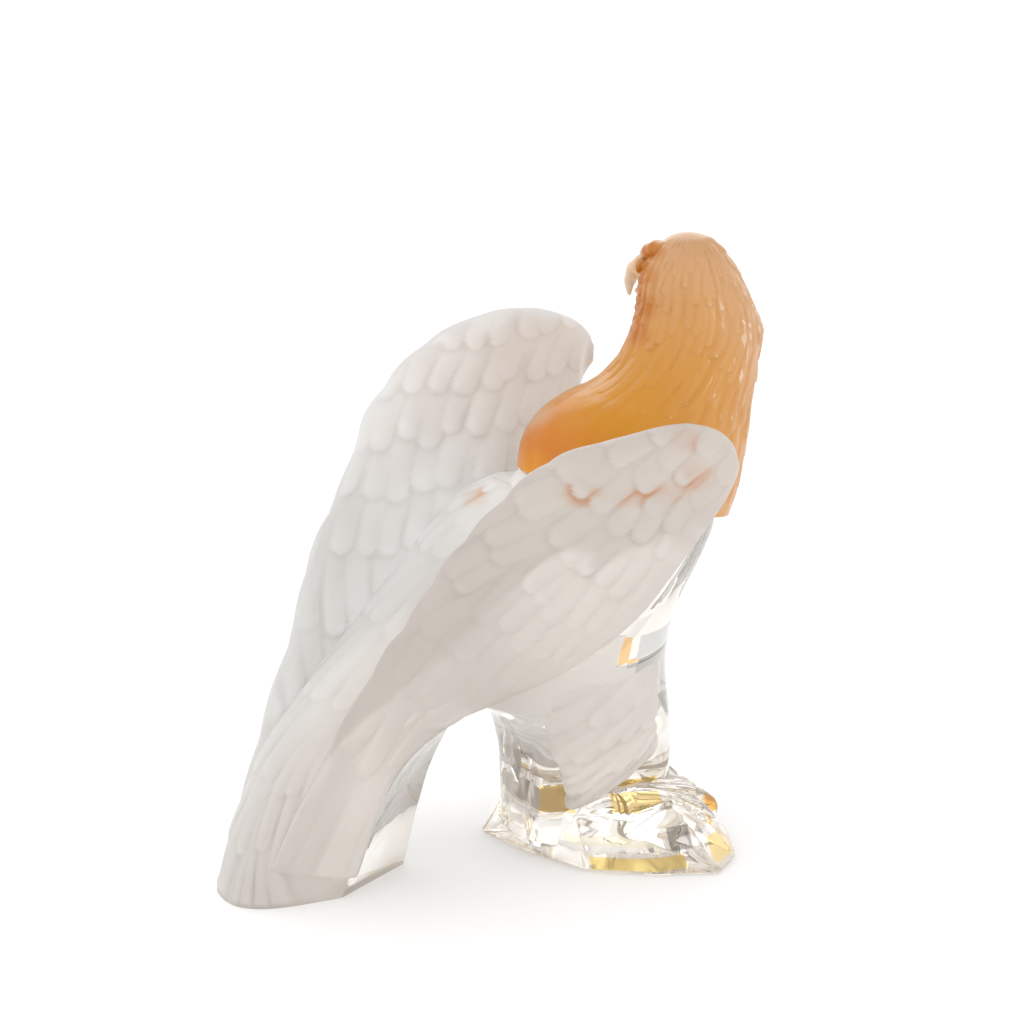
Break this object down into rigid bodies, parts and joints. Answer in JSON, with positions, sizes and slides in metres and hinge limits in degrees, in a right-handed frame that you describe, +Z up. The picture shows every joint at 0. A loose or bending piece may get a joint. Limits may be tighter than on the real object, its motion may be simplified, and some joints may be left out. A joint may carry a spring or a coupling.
{
  "type": "crystal eagle sculpture",
  "caption": "Perched eagle with raised wings, a tail that reaches the ground and an arch under the body, in satin and clear crystal, with an amber crystal head.",
  "frame": {"origin": "middle of the footprint of the whole piece, on the surface that it stands on", "axes": "+X is the way the bird faces, +Y is its left, +Z is up; the head is turned to +Y"},
  "size_m": [0.2584, 0.17, 0.277],
  "materials": {
    "satin_and_clear_crystal": "cast lead crystal, acid-satin on the feathers and polished clear on the legs, rock and tail side",
    "amber_crystal": "cast amber crystal with a satin skin, paler where it is thin"
  },
  "bodies": {
    "root": {"crystal_body": "satin_and_clear_crystal", "amber_head": "amber_crystal"}
  },
  "joints": []
}
